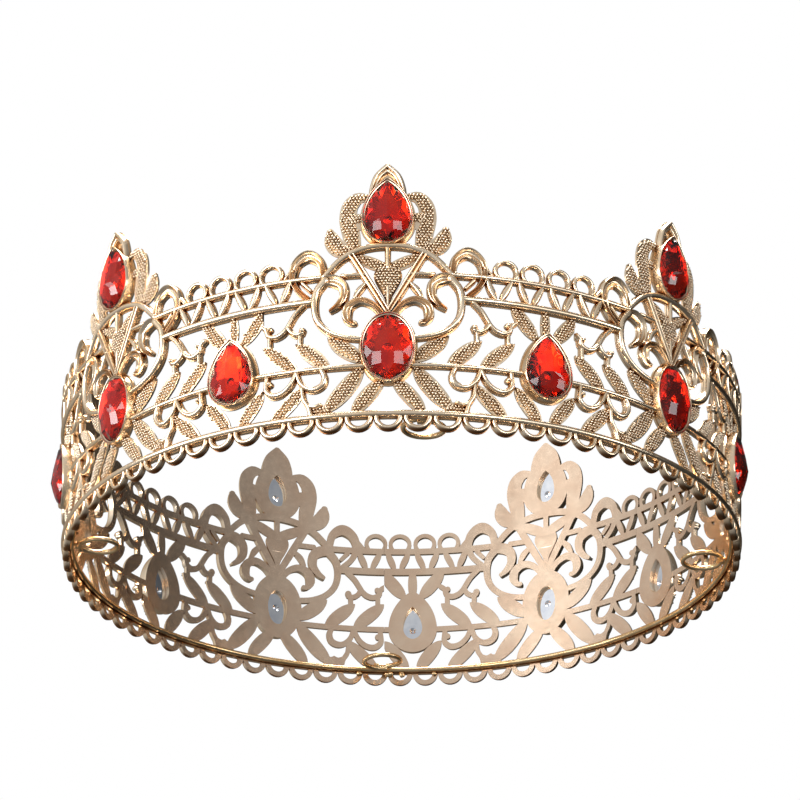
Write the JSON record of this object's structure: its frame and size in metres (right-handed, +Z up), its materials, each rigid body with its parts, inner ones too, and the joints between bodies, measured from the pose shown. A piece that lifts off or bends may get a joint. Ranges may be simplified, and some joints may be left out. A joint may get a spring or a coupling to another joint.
{
  "type": "crown",
  "caption": "Round filigree crown of gold-coloured cast metal with red faceted drop and oval stones, an inner wire hoop and small wire loops for hair pins.",
  "frame": {"origin": "on the ring's axis, in the plane that the scallops under the bottom rail stand on", "axes": "+Z up along the ring's axis, -Y towards the front peak, +X to the right as seen from the front"},
  "size_m": [0.1482, 0.1505, 0.0578],
  "materials": {
    "gold_casting": "bright pale gold plating on the relief, satin on the smooth inner face",
    "red_stone": "faceted transparent acrylic over a silver foil back",
    "gold_wire": "polished gold-plated wire"
  },
  "bodies": {
    "root": {"casting_1": "gold_casting", "casting_2": "gold_casting", "casting_3": "gold_casting", "casting_4": "gold_casting", "casting_5": "gold_casting", "casting_6": "gold_casting", "casting_7": "gold_casting", "peak_stone_1": "red_stone", "peak_stone_2": "red_stone", "peak_stone_3": "red_stone", "peak_stone_4": "red_stone", "peak_stone_5": "red_stone", "peak_stone_6": "red_stone", "peak_stone_7": "red_stone", "oval_stone_1": "red_stone", "oval_stone_2": "red_stone", "oval_stone_3": "red_stone", "oval_stone_4": "red_stone", "oval_stone_5": "red_stone", "oval_stone_6": "red_stone", "oval_stone_7": "red_stone", "pear_stone_1": "red_stone", "pear_stone_2": "red_stone", "pear_stone_3": "red_stone", "pear_stone_4": "red_stone", "pear_stone_5": "red_stone", "pear_stone_6": "red_stone", "pear_stone_7": "red_stone", "inner_hoop": "gold_wire", "pin_loop_1": "gold_wire", "pin_loop_2": "gold_wire", "pin_loop_3": "gold_wire", "pin_loop_4": "gold_wire"}
  },
  "joints": []
}
